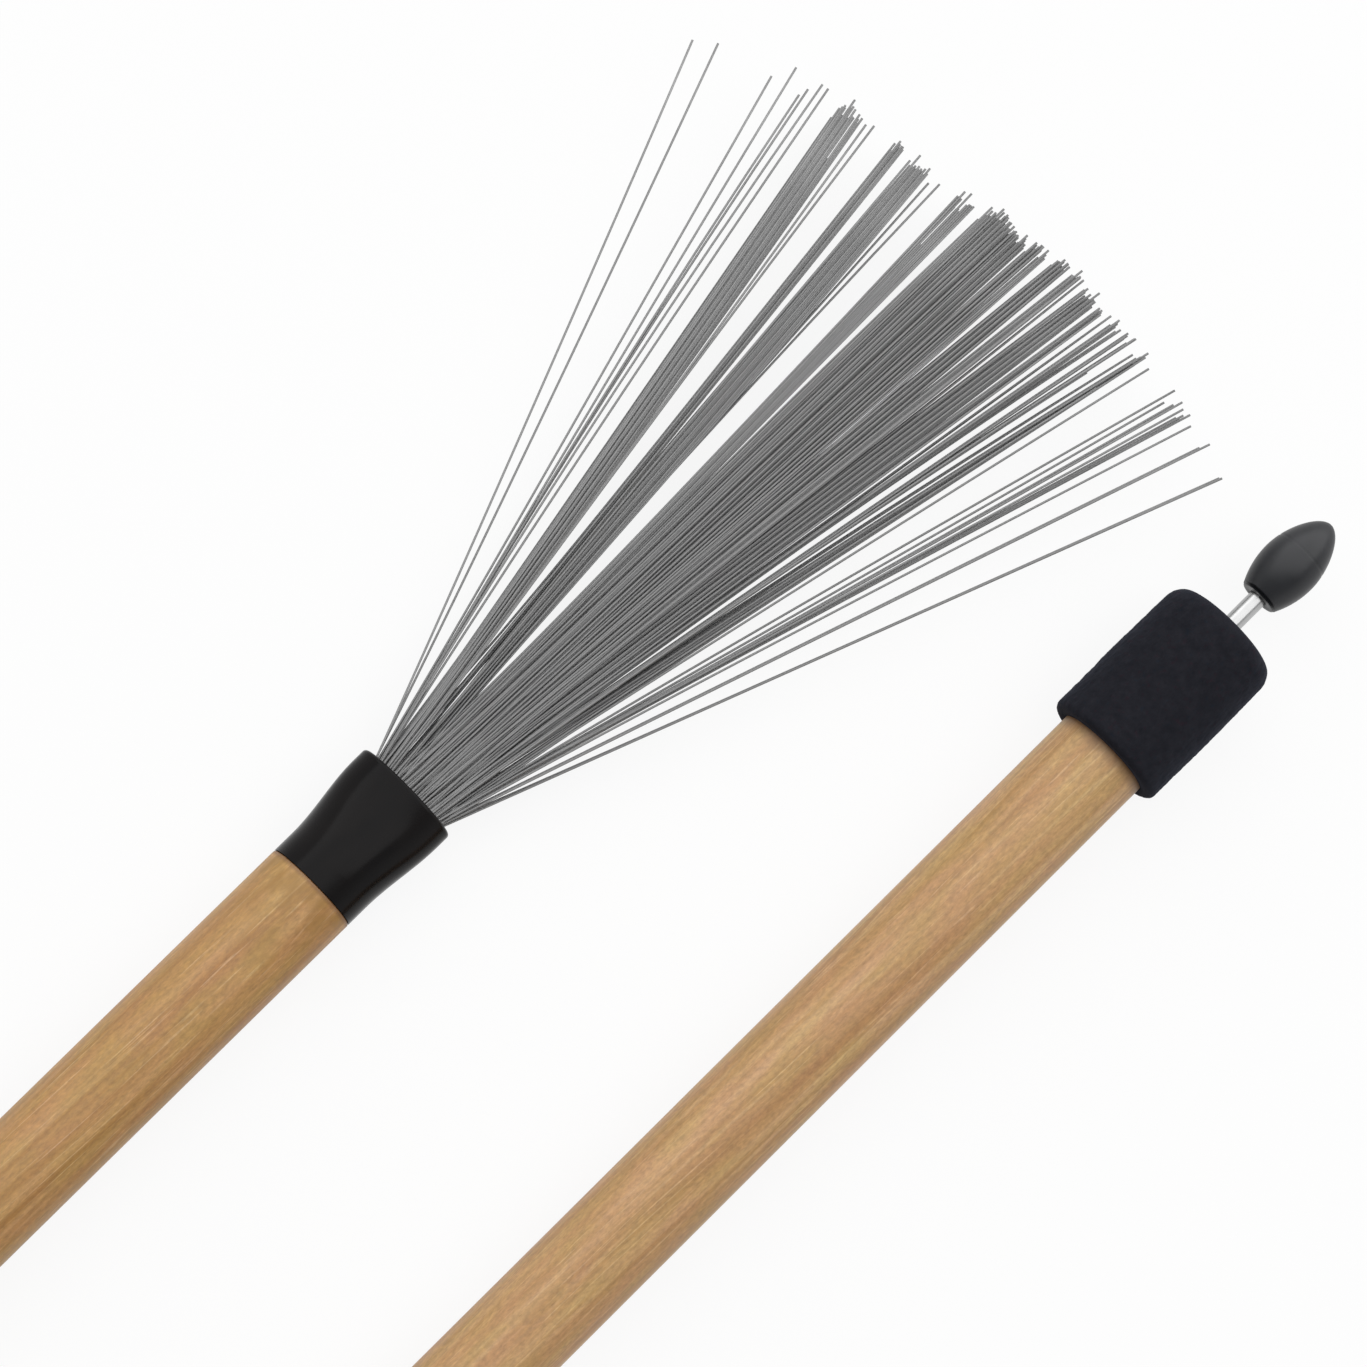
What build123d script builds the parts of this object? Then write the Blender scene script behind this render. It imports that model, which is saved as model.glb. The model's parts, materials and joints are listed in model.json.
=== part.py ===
"""A pair of retractable wire drum brushes with hickory handles, in millimetres.

Each piece is modelled once, in the frame of one brush: X runs along the brush, from the
ferrule's mouth at x = 0 out to the wire tips, Y lies across the wire fan and Z through
its thickness. The two brushes then lie on the ground plane Z = 0, side by side and
pointing opposite ways, with the first brush's wires towards +X.
"""
import os
from math import asin, atan2, ceil, cos, degrees, hypot, pi, radians, sin

from build123d import *

os.makedirs("parts", exist_ok=True)

# ---- Driving dimensions -------------------------------------------------------------

# Handle: a turned wooden tube.
handle_diameter = 14.7
handle_exposed = 185.0  # bare wood between the ferrule and the felt
bore_diameter = 9.6
handle_edge_round = 0.4

# Ferrule: round at the wood, a flattened oval at the mouth.
ferrule_length = 19.0
ferrule_parallel = 3.5  # round stretch before the flare starts
ferrule_lip = 2.5  # stretch at the mouth that no longer flares
flare_sections = 7
mouth_width = 17.0
mouth_height = 12.4
mouth_shift = 0.15  # the mouth sits a little to one side
ferrule_wall = 1.1
ferrule_rim_round = 0.55
spigot_length = 12.0
spigot_diameter = 11.4

# Felt sleeve round the butt.
felt_thickness = 2.3
felt_length = 25.4
felt_butt_round = 2.1
felt_wood_round = 1.0

# Wires.
wire_side = 0.30
wire_pitch = 0.36
bundle_radius = 2.7
grid_turn = 7.0  # degrees, so that no two wires lie exactly over each other
fan_source = 18.0  # the wires spread as from a point this far behind the mouth
fan_reach = 136.3  # from that point to the tips of the middle wires
fan_slant = 0.215  # the tips draw back by this much a degree towards +Y
fan_half_angle = 21.0
fan_lean = 0.25  # degrees, the fan's middle line off the handle's
tip_thickness = 8.4
clumping = ((3, 0.06, 0.4), (7, 0.07, 2.1), (11, 0.06, 4.4), (17, 0.05, 1.2))  # waves, share, phase

# Root slug, coupler and collars.
slug_face = 11.5  # behind the mouth
slug_length = 10.5
slug_rim = 0.3  # solder round the outermost wires
coupler_wall = 0.7
coupler_length = 29.0
coupler_lap = 9.0  # grip on the slug
coupler_socket = 12.0  # grip on the rod
guide_collar_length = 9.0
stop_collar_diameter = 7.0
stop_collar_length = 5.0
bumper_diameter = 7.6
bumper_thickness = 2.0

# Rod and bead.
rod_diameter = 2.8
rod_exposed = 6.65  # between the felt and the bead
rod_in_bead = 9.0
bead_length = 15.2
bead_diameter = 9.1
bead_seat_diameter = 5.9  # flat end that faces the handle
bead_widest = 6.4  # from that flat end
bead_nose_fullness = 0.46

# Bush, drag ring and cap in the butt.
bush_length = 14.0
bush_flange_diameter = 13.4
bush_flange_thickness = 1.2
ring_section = 1.6
ring_cap_diameter = 7.8
ring_cap_thickness = 1.2

# How far inside the mouth the longest wires end up when drawn in.
tip_recess = 1.2

# Clearances.
glue_line = 0.04  # radial, between bonded pieces of one body
running_gap = 0.06  # radial, between a sliding piece and what guides it
free_gap = 0.30  # between pieces of different bodies that meet at a stop
crimp_gap = 0.02  # radial, between a crimped piece and what it grips

# The pair on the ground.
axis_spacing = 65.4
pair_stagger = 4.05  # the second brush lies this much further towards +X

# ---- Places that follow from them ---------------------------------------------------

handle_radius = handle_diameter / 2
bore_radius = bore_diameter / 2
rod_radius = rod_diameter / 2
slug_radius = bundle_radius + slug_rim
felt_radius = handle_radius + felt_thickness

wood_front = -ferrule_length
spigot_end = wood_front - spigot_length
felt_front = wood_front - handle_exposed
felt_end = felt_front - felt_length
wood_end = felt_end + bush_flange_thickness
bead_seat = felt_end - rod_exposed
bead_tip = bead_seat - bead_length

slug_back = -slug_face - slug_length
coupler_front = slug_back + coupler_lap
coupler_back = coupler_front - coupler_length
coupler_radius = slug_radius + crimp_gap + coupler_wall
guide_front = spigot_end - free_gap
guide_back = guide_front - guide_collar_length

longest_reach = fan_reach + fan_slant * (fan_half_angle - fan_lean)
travel = longest_reach - fan_source + tip_recess
bush_front = wood_end + bush_length
bumper_back = bush_front + travel + free_gap
bumper_front = bumper_back + bumper_thickness

ring_radius = rod_radius + running_gap + ring_section / 2
ring_pocket_radius = ring_radius + ring_section / 2 + glue_line
ring_cap_radius = ring_cap_diameter / 2
ring_pocket_depth = ring_section + 2 * glue_line


# ---- Wooden handle ------------------------------------------------------------------

with BuildPart() as handle:
    with BuildSketch(Plane.YZ.offset(wood_end)):
        Circle(handle_radius)
        Circle(bore_radius, mode=Mode.SUBTRACT)
    extrude(amount=wood_front - wood_end)
    with BuildSketch(Plane.YZ.offset(spigot_end - glue_line)):
        Circle(spigot_diameter / 2 + glue_line)
    extrude(amount=spigot_length + glue_line, mode=Mode.SUBTRACT)
    wood_rim = handle.edges().filter_by(GeomType.CIRCLE).group_by(Axis.X)[-1]
    fillet(wood_rim.sort_by(SortBy.RADIUS)[-1], handle_edge_round)

# ---- Ferrule ------------------------------------------------------------------------

rear_section = Plane.YZ.offset(wood_front)
mouth_section = Plane.YZ
flare_start = wood_front + ferrule_parallel
flare_length = ferrule_length - ferrule_parallel - ferrule_lip
mouth_bore = (mouth_width / 2 - ferrule_wall, mouth_height / 2 - ferrule_wall)
throat_radius = spigot_diameter / 2 - ferrule_wall


def flared(share, at_wood, at_mouth):
    """A size of the ferrule where share, 0 to 1, of the flare is behind: an S from end to end."""
    grown = 3 * share**2 - 2 * share**3
    return at_wood + (at_mouth - at_wood) * grown


with BuildPart() as ferrule:
    with BuildSketch(rear_section):
        Circle(handle_radius)
    extrude(amount=ferrule_parallel)
    with BuildSketch(Plane.YZ.offset(flare_start)):
        Circle(handle_radius)
    for section in range(1, flare_sections + 1):
        share = section / flare_sections
        half_width = flared(share, handle_radius, mouth_width / 2)
        half_height = flared(share, handle_radius, mouth_height / 2)
        with BuildSketch(Plane.YZ.offset(flare_start + share * flare_length)):
            with Locations((flared(share, 0, mouth_shift), 0)):
                Ellipse(half_width, half_height)
    for x in (-ferrule_lip / 2, 0):
        with BuildSketch(Plane.YZ.offset(x)):
            with Locations((mouth_shift, 0)):
                Ellipse(mouth_width / 2, mouth_height / 2)
    loft()
    fillet(ferrule.edges().group_by(Axis.X)[-1], ferrule_rim_round)
    with BuildSketch(rear_section):
        Circle(spigot_diameter / 2)
    extrude(amount=-spigot_length)
    with BuildSketch(mouth_section):
        with Locations((mouth_shift, 0)):
            Ellipse(*mouth_bore)
    with BuildSketch(rear_section):
        Circle(throat_radius)
    loft(mode=Mode.SUBTRACT)
    with BuildSketch(rear_section):
        Circle(throat_radius)
    extrude(amount=-spigot_length, mode=Mode.SUBTRACT)

# ---- Felt sleeve --------------------------------------------------------------------

with BuildPart() as butt_sleeve:
    with BuildSketch(Plane.YZ.offset(felt_end)):
        Circle(felt_radius)
    extrude(amount=felt_length)
    felt_rims = butt_sleeve.edges().filter_by(GeomType.CIRCLE).sort_by(Axis.X)
    fillet(felt_rims[0], felt_butt_round)
    fillet(felt_rims[-1], felt_wood_round)
    with BuildSketch(Plane.YZ.offset(felt_end)):
        Circle(handle_radius + glue_line)
    extrude(amount=felt_length, mode=Mode.SUBTRACT)

# ---- Wire fan -----------------------------------------------------------------------


def bundle_grid():
    """The wires' places across the root slug: a square grid, turned, inside a circle."""
    reach = ceil(bundle_radius / wire_pitch)
    turn = radians(grid_turn)
    places = []
    for row in range(-reach, reach + 1):
        for column in range(-reach, reach + 1):
            y = wire_pitch * (column * cos(turn) - row * sin(turn))
            z = wire_pitch * (column * sin(turn) + row * cos(turn))
            if hypot(y, z) < bundle_radius:
                places.append((y, z))
    return places


def fan_angle(across):
    """A wire's angle, in degrees, from its place across the slug, -1 to 1."""
    gathered = across
    for waves, share, phase in clumping:
        gathered += (1 - across**2) * share / waves * sin(waves * pi * across + phase)
    return fan_half_angle * gathered + fan_lean


def wire_tip(y, z):
    """Where the wire that is rooted at y, z in the slug ends."""
    angle = fan_angle(y / bundle_radius)
    reach = fan_reach - fan_slant * angle
    tip_x = reach * cos(radians(angle)) - fan_source
    tip_y = reach * sin(radians(angle))
    tip_z = z / bundle_radius * tip_thickness / 2
    return tip_x, tip_y, tip_z


def strand(y, z):
    """One wire, straight from its root in the slug to its tip."""
    root_x = -slug_face - wire_side
    tip_x, tip_y, tip_z = wire_tip(y, z)
    with BuildSketch(Plane.YZ.offset(root_x), mode=Mode.PRIVATE) as root:
        with Locations((y, z)):
            Rectangle(wire_side, wire_side)
    with BuildSketch(Plane.YZ.offset(tip_x), mode=Mode.PRIVATE) as tip:
        with Locations((tip_y, tip_z)):
            Rectangle(wire_side, wire_side)
    return loft([root.sketch, tip.sketch], ruled=True, mode=Mode.PRIVATE)


strands = [strand(y, z) for y, z in bundle_grid()]

with BuildPart() as wire_fan:
    with BuildSketch(Plane.YZ.offset(slug_back)):
        Circle(slug_radius)
    extrude(amount=slug_length)
    add(strands)

# ---- Coupler and collars ------------------------------------------------------------

with BuildPart() as coupler:
    with BuildSketch(Plane.YZ.offset(coupler_back)):
        Circle(coupler_radius)
    extrude(amount=coupler_length)
    with BuildSketch(Plane.YZ.offset(coupler_front)):
        Circle(slug_radius + crimp_gap)
    extrude(amount=-coupler_lap, mode=Mode.SUBTRACT)
    with BuildSketch(Plane.YZ.offset(coupler_back)):
        Circle(rod_radius + crimp_gap)
    extrude(amount=coupler_socket, mode=Mode.SUBTRACT)

with BuildPart() as guide_collar:
    with BuildSketch(Plane.YZ.offset(guide_back)):
        Circle(bore_radius - running_gap)
        Circle(coupler_radius + crimp_gap, mode=Mode.SUBTRACT)
    extrude(amount=guide_collar_length)

with BuildPart() as stop_collar:
    with BuildSketch(Plane.YZ.offset(bumper_front)):
        Circle(stop_collar_diameter / 2)
        Circle(rod_radius + crimp_gap, mode=Mode.SUBTRACT)
    extrude(amount=stop_collar_length)

with BuildPart() as stop_bumper:
    with BuildSketch(Plane.YZ.offset(bumper_back)):
        Circle(bumper_diameter / 2)
        Circle(rod_radius + crimp_gap, mode=Mode.SUBTRACT)
    extrude(amount=bumper_thickness)

# ---- Rod and bead -------------------------------------------------------------------

rod_front = coupler_back + coupler_socket
rod_back = bead_seat - rod_in_bead

with BuildPart() as pull_rod:
    with BuildSketch(Plane.YZ.offset(rod_back)):
        Circle(rod_radius)
    extrude(amount=rod_front - rod_back)

with BuildPart() as pull_bead:
    with BuildSketch(Plane.XY):
        with BuildLine():
            seat = (bead_seat, bead_seat_diameter / 2)
            crest = (bead_seat - bead_widest, bead_diameter / 2)
            nose = (bead_tip, 0)
            crest_pull = (crest[0] - (crest[0] - bead_tip) * bead_nose_fullness, crest[1])
            nose_pull = (bead_tip, crest[1] * bead_nose_fullness)
            Line((bead_seat, 0), seat)
            TangentArc(crest, seat, tangent=(1, 0))
            Bezier(crest, crest_pull, nose_pull, nose)
            Line(nose, (bead_seat, 0))
        make_face()
    revolve(axis=Axis.X)
    with BuildSketch(Plane.YZ.offset(bead_seat)):
        Circle(rod_radius + crimp_gap)
    extrude(amount=-rod_in_bead, mode=Mode.SUBTRACT)

# ---- Bush, drag ring and cap --------------------------------------------------------

with BuildPart() as rod_bush:
    with BuildSketch(Plane.YZ.offset(felt_end)):
        Circle(bush_flange_diameter / 2)
    extrude(amount=bush_flange_thickness)
    with BuildSketch(Plane.YZ.offset(wood_end)):
        Circle(bore_radius - glue_line)
    extrude(amount=bush_length)
    with BuildSketch(Plane.YZ.offset(felt_end)):
        Circle(rod_radius + running_gap)
    extrude(amount=bush_flange_thickness + bush_length, mode=Mode.SUBTRACT)
    with BuildSketch(Plane.YZ.offset(bush_front)):
        Circle(ring_cap_radius + glue_line)
    extrude(amount=-ring_cap_thickness, mode=Mode.SUBTRACT)
    with BuildSketch(Plane.YZ.offset(bush_front - ring_cap_thickness)):
        Circle(ring_pocket_radius)
    extrude(amount=-ring_pocket_depth, mode=Mode.SUBTRACT)

with BuildPart() as drag_ring:
    ring_middle = bush_front - ring_cap_thickness - ring_pocket_depth / 2
    with BuildSketch(Plane.XY):
        with Locations((ring_middle, ring_radius)):
            Circle(ring_section / 2)
    revolve(axis=Axis.X)

with BuildPart() as ring_cap:
    with BuildSketch(Plane.YZ.offset(bush_front - ring_cap_thickness)):
        Circle(ring_cap_radius)
        Circle(rod_radius + running_gap, mode=Mode.SUBTRACT)
    extrude(amount=ring_cap_thickness)

# ---- The pair on the ground ---------------------------------------------------------

# A brush rests on the round part of its ferrule and on the felt's rounded front edge,
# so it slopes down towards its wires by the angle of the line that touches both.
edge_centre = (felt_front - felt_wood_round, felt_wood_round - felt_radius)
span_x = flare_start - edge_centre[0]
span_z = edge_centre[1] + handle_radius
slope = asin(felt_wood_round / hypot(span_x, span_z)) - atan2(span_z, span_x)
rest_height = handle_radius * cos(slope) + flare_start * sin(slope)

# The pair's origin lies under its middle, half way from end to end.
fan_front = max(wire_tip(y, z)[0] for y, z in bundle_grid())
mouth_from_middle = (fan_front + bead_tip + pair_stagger) / 2

pieces = {
    "handle": handle,
    "ferrule": ferrule,
    "butt_sleeve": butt_sleeve,
    "wire_fan": wire_fan,
    "coupler": coupler,
    "guide_collar": guide_collar,
    "stop_collar": stop_collar,
    "stop_bumper": stop_bumper,
    "pull_rod": pull_rod,
    "pull_bead": pull_bead,
    "rod_bush": rod_bush,
    "drag_ring": drag_ring,
    "ring_cap": ring_cap,
}


def resting_place(heading, mouth_x, axis_y):
    """Where a brush's own frame lies when its wires point along heading, +1 or -1."""
    along = (heading * cos(slope), 0, -sin(slope))
    upward = (heading * sin(slope), 0, cos(slope))
    return Plane(origin=(mouth_x, axis_y, rest_height), x_dir=along, z_dir=upward)


places = {
    "a": resting_place(1, -mouth_from_middle, axis_spacing / 2),
    "b": resting_place(-1, mouth_from_middle, -axis_spacing / 2),
}

for side, place in places.items():
    for name, piece in pieces.items():
        placed = place.from_local_coords(piece.part)
        placed.label = f"{name}_{side}"
        export_step(placed, f"parts/{placed.label}.step")

print("wires", 2 * len(strands), "travel", travel)
print("slope in degrees", degrees(slope), "height of the axis at the mouth", rest_height)
print("mouths at x =", -mouth_from_middle, mouth_from_middle)
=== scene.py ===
"""The looks of a pair of retractable wire drum brushes, in metres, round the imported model.

Each brush has a frame of its own: X runs along its wires from the ferrule's mouth, Y lies
across the fan and Z points up. Pieces made here are built in that frame.
"""
import json
import random
from math import atan2, copysign, cos, exp, hypot, pi, radians, sin, sqrt

import bpy
from mathutils import Matrix, Vector, noise


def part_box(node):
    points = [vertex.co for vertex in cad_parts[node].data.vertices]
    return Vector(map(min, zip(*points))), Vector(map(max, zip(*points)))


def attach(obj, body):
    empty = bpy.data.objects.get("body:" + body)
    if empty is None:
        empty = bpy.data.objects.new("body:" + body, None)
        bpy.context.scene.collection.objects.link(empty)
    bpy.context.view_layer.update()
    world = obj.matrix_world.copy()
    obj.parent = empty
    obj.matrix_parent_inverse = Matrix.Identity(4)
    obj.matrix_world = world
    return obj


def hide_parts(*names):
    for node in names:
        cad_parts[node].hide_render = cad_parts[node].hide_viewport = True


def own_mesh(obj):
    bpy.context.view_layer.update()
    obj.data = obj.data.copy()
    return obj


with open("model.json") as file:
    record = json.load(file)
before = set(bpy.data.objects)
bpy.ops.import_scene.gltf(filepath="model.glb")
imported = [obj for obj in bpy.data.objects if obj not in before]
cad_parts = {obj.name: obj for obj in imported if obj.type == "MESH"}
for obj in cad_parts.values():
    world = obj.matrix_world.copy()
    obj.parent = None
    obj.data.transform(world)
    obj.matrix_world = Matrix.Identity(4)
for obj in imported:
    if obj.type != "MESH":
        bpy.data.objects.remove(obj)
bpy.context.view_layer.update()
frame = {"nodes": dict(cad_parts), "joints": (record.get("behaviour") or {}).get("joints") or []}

MM = 0.001
SIDES = ("a", "b")

# ---- Camera -------------------------------------------------------------------------

camera_place = Vector((-0.02374, 0.11386, 0.84279))
camera_target = Vector((0.10319, 0.01642, 0.007))
camera_up = Vector((0.69327, 0.72036, 0.02131))
camera_field = radians(12.979)


def make_camera():
    """The photograph's view, from nearly overhead."""
    data = bpy.data.cameras.new("camera")
    data.sensor_fit = "HORIZONTAL"
    data.angle = camera_field
    data.clip_start = 0.01
    camera = bpy.data.objects.new("camera", data)
    bpy.context.scene.collection.objects.link(camera)
    back = (camera_place - camera_target).normalized()
    right = camera_up.cross(back).normalized()
    up = back.cross(right)
    turn = Matrix((right, up, back)).transposed()
    camera.matrix_world = Matrix.Translation(camera_place) @ turn.to_4x4()
    bpy.context.scene.camera = camera


make_camera()

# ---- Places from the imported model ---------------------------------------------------


def brush_place(side):
    """The matrix from a brush's own frame to the row's frame."""
    joint = next(j for j in frame["joints"] if j["name"] == f"rod_slide_{side}")
    along = -Vector(joint["axis"]).normalized()
    across = Vector((0, 0, 1)).cross(along).normalized()
    upward = along.cross(across)
    lowest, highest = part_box(f"pull_rod_{side}")
    middle = (lowest + highest) / 2
    ferrule = frame["nodes"][f"ferrule_{side}"]
    mouth = middle + along * max((v.co - middle).dot(along) for v in ferrule.data.vertices)
    turn = Matrix((along, across, upward)).transposed()
    return Matrix.Translation(mouth) @ turn.to_4x4()


places = {side: brush_place(side) for side in SIDES}
into_brush = {side: places[side].inverted() for side in SIDES}


def local_points(node, side):
    """A CAD node's points in its brush's own frame."""
    mesh = frame["nodes"][f"{node}_{side}"].data
    return [into_brush[side] @ v.co for v in mesh.vertices]


def span(node):
    """Where a node starts and ends along its brush."""
    places_along = [p.x for p in local_points(node, "a")]
    return min(places_along), max(places_along)


def outer_radius(node):
    """A node's greatest distance from its brush's axis."""
    return max(hypot(p.y, p.z) for p in local_points(node, "a"))


slug_back, _ = span("wire_fan")
felt_back, felt_front = span("butt_sleeve")
bead_tip, bead_seat = span("pull_bead")
_, wood_front = span("handle")

felt_radius = outer_radius("butt_sleeve")
wood_radius = outer_radius("handle")
bead_radius = outer_radius("pull_bead")
rod_radius = outer_radius("pull_rod")

# ---- Meshes -------------------------------------------------------------------------


def make_piece(name, side, points, faces, material, body):
    """A mesh piece whose points are in its brush's own frame."""
    mesh = bpy.data.meshes.new(name)
    mesh.from_pydata(points, [], faces)
    mesh.validate()
    for polygon in mesh.polygons:
        polygon.use_smooth = True
    mesh.materials.append(material)
    piece = bpy.data.objects.new(name, mesh)
    bpy.context.scene.collection.objects.link(piece)
    piece.matrix_world = places[side]
    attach(piece, body)
    return piece


def grid_faces(rows, columns, start=0, close_rows=False):
    """Quads between the rows of a lathe or a tube; each row is a closed ring of points."""
    faces = []
    for row in range(rows if close_rows else rows - 1):
        low = start + row * columns
        high = start + (row + 1) % rows * columns
        for column in range(columns):
            after = (column + 1) % columns
            faces.append((low + column, low + after, high + after, high + column))
    return faces


def ring(x, radius, count, dent=None):
    """A ring of points round the brush's axis. dent gives each point's change of radius."""
    points = []
    for i in range(count):
        angle = 2 * pi * i / count
        r = radius + (dent(x, angle) if dent else 0)
        points.append((x, r * cos(angle), r * sin(angle)))
    return points


def tube(path, radius, sides):
    """A closed round tube along a path that runs roughly along X."""
    points = []
    for i, here in enumerate(path):
        before, after = path[max(i - 1, 0)], path[min(i + 1, len(path) - 1)]
        along = (after - before).normalized()
        across = Vector((0, 0, 1)).cross(along).normalized()
        upward = along.cross(across)
        for k in range(sides):
            angle = 2 * pi * k / sides
            points.append(here + radius * (across * cos(angle) + upward * sin(angle)))
    faces = grid_faces(len(path), sides)
    faces.append(tuple(range(sides))[::-1])
    faces.append(tuple((len(path) - 1) * sides + k for k in range(sides)))
    return points, faces


# ---- Nodes for materials ------------------------------------------------------------


class Nodes:
    """Short calls that add nodes to a material's or the world's tree."""

    def __init__(self, tree):
        self.tree = tree

    def node(self, kind, inputs=None, **settings):
        """A node whose inputs are numbers, colours or other nodes' outputs."""
        made = self.tree.nodes.new(kind)
        for name, value in settings.items():
            setattr(made, name, value)
        for key, value in (inputs or {}).items():
            self.feed(made.inputs[key], value)
        return made

    def feed(self, socket, value):
        if isinstance(value, bpy.types.NodeSocket):
            self.tree.links.new(value, socket)
        else:
            socket.default_value = value

    def math(self, operation, a, b):
        return self.node("ShaderNodeMath", {0: a, 1: b}, operation=operation).outputs[0]

    def vector(self, operation, a, b):
        """The outputs of a vector operation, Vector and Value."""
        return self.node("ShaderNodeVectorMath", {0: a, 1: b}, operation=operation).outputs

    def combined(self, x, y, z):
        return self.node("ShaderNodeCombineXYZ", {0: x, 1: y, 2: z}).outputs[0]

    def part(self, vector, axis):
        """A vector's X, Y or Z."""
        return self.node("ShaderNodeSeparateXYZ", {0: vector}).outputs[axis]

    def between(self, value, low, high, to_low=0.0, to_high=1.0):
        """value from low..high to to_low..to_high, clamped."""
        ends = {"From Min": low, "From Max": high, "To Min": to_low, "To Max": to_high}
        return self.node("ShaderNodeMapRange", {"Value": value, **ends}).outputs["Result"]

    def seen_directly(self):
        """1 for what the camera, a gloss or a clear surface sees, 0 for light that is scattered."""
        path = self.node("ShaderNodeLightPath").outputs
        either = self.math("MAXIMUM", path["Is Camera Ray"], path["Is Glossy Ray"])
        return self.math("MAXIMUM", either, path["Is Transmission Ray"])


class Finish(Nodes):
    """A new material, with short calls for the marks and colours that make it."""

    def __init__(self, name, side=None):
        self.material = bpy.data.materials.new(name)
        self.material.use_nodes = True
        super().__init__(self.material.node_tree)
        self.surface = self.tree.nodes["Principled BSDF"]
        self.side = side

    def set(self, **values):
        """Sets or links the shader's own sockets, named with _ for a space."""
        for name, value in values.items():
            self.feed(self.surface.inputs[name.replace("_", " ")], value)
        return self

    def own_coordinates(self):
        """Coordinates in the brush's own frame, for a piece made here."""
        return self.node("ShaderNodeTexCoord").outputs["Object"]

    def brush_coordinates(self):
        """Coordinates in the brush's own frame, for a CAD node, which has the row's frame."""
        row = self.node("ShaderNodeTexCoord").outputs["Object"]
        place = places[self.side]
        moved = self.vector("SUBTRACT", row, place.translation)["Vector"]
        return self.along_axes(moved, [place.col[i].to_3d() for i in range(3)])

    def along_axes(self, vector, axes):
        """The vector's parts along three axes."""
        return self.combined(*(self.vector("DOT_PRODUCT", vector, axis)["Value"] for axis in axes))

    def marks(self, vector, size, detail=2.0, roughness=0.5, shift=0.0):
        """Noise with marks of that size, in metres: one number, or one along each axis.

        shift moves it to another place in the noise.
        """
        sizes = size if isinstance(size, tuple) else (size,) * 3
        at = self.vector("MULTIPLY", vector, [1 / length for length in sizes])["Vector"]
        at = self.vector("ADD", at, (shift, shift, shift))["Vector"]
        inputs = {"Vector": at, "Scale": 1.0, "Detail": detail, "Roughness": roughness}
        return self.node("ShaderNodeTexNoise", inputs).outputs["Fac"]

    def mix(self, share, first, second, blend="MIX"):
        """share of the second colour over the first."""
        made = self.node("ShaderNodeMix", data_type="RGBA", blend_type=blend)
        # Sockets 6 and 7 and output 2 are this node's colours.
        self.feed(made.inputs["Factor"], share)
        self.feed(made.inputs[6], first)
        self.feed(made.inputs[7], second)
        return made.outputs[2]

    def overlay(self, share, colour, marks, ends, levels):
        """Darkens and lightens a colour: grey levels where marks are low and high."""
        greys = self.ramp(marks, *((end, grey(level)) for end, level in zip(ends, levels)))
        return self.mix(share, colour, greys, "OVERLAY")

    def ramp(self, value, *stops):
        """A colour ramp from (place, colour) stops."""
        made = self.node("ShaderNodeValToRGB", {"Fac": value})
        elements = made.color_ramp.elements
        for i, (place, colour) in enumerate(stops):
            element = elements[i] if i < 2 else elements.new(place)
            element.position = place
            element.color = colour
        return made.outputs["Color"]

    def bump(self, height, distance, strength):
        inputs = {"Height": height, "Distance": distance, "Strength": strength}
        return self.node("ShaderNodeBump", inputs).outputs["Normal"]


def screen_colour(red, green, blue):
    """A colour as it shows on screen, 0 to 255, in the linear values that nodes take."""
    def linear(value):
        value /= 255
        return value / 12.92 if value < 0.04045 else ((value + 0.055) / 1.055) ** 2.4
    return (linear(red), linear(green), linear(blue), 1.0)


def grey(level):
    return (level, level, level, 1.0)


# ---- Wood ---------------------------------------------------------------------------

cream = screen_colour(210, 178, 132)
pore_brown = screen_colour(124, 88, 46)
stain_brown = screen_colour(148, 110, 50)
joint_brown = screen_colour(96, 60, 30)
cool_cloud = (0.49, 0.50, 0.43, 1.0)
rosy_cloud = (0.52, 0.48, 0.52, 1.0)
wood_tones = {
    "a": {
        "light": screen_colour(184, 145, 93),
        "tan": screen_colour(169, 129, 76),
        "amber": screen_colour(153, 111, 58),
        "stain": 0.75,
        "shift": 3.7,
    },
    "b": {
        "light": screen_colour(193, 157, 111),
        "tan": screen_colour(179, 141, 93),
        "amber": screen_colour(165, 125, 78),
        "stain": 0.20,
        "shift": 41.3,
    },
}

# The wood's marks: their size along the handle and across it both ways, in metres.
wander_size = (0.060, 0.008, 0.008)
band_size = (0.120, 0.0022, 0.0022)
streak_size = (0.060, 0.00080, 0.00080)
thread_size = (0.030, 0.00036, 0.00036)
mottle_size = (0.0011, 0.00045, 0.00045)
cloud_size = (0.011, 0.0030, 0.0030)
pore_size = (0.0015, 0.00016, 0.00016)
patch_size = (0.005, 0.0030, 0.0030)
grain_wander = 0.0008  # how far the grain wanders to either side
grain_slant = 0.033  # the grain drifts sideways by this much as it runs along the handle
stain_reach = (0.016, 0.001)  # behind the ferrule, where the stain starts and is full
ferrule_line = (0.0009, 0.0002)  # the same for the dark line along each joint
felt_line = (0.0020, 0.0001)


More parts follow.
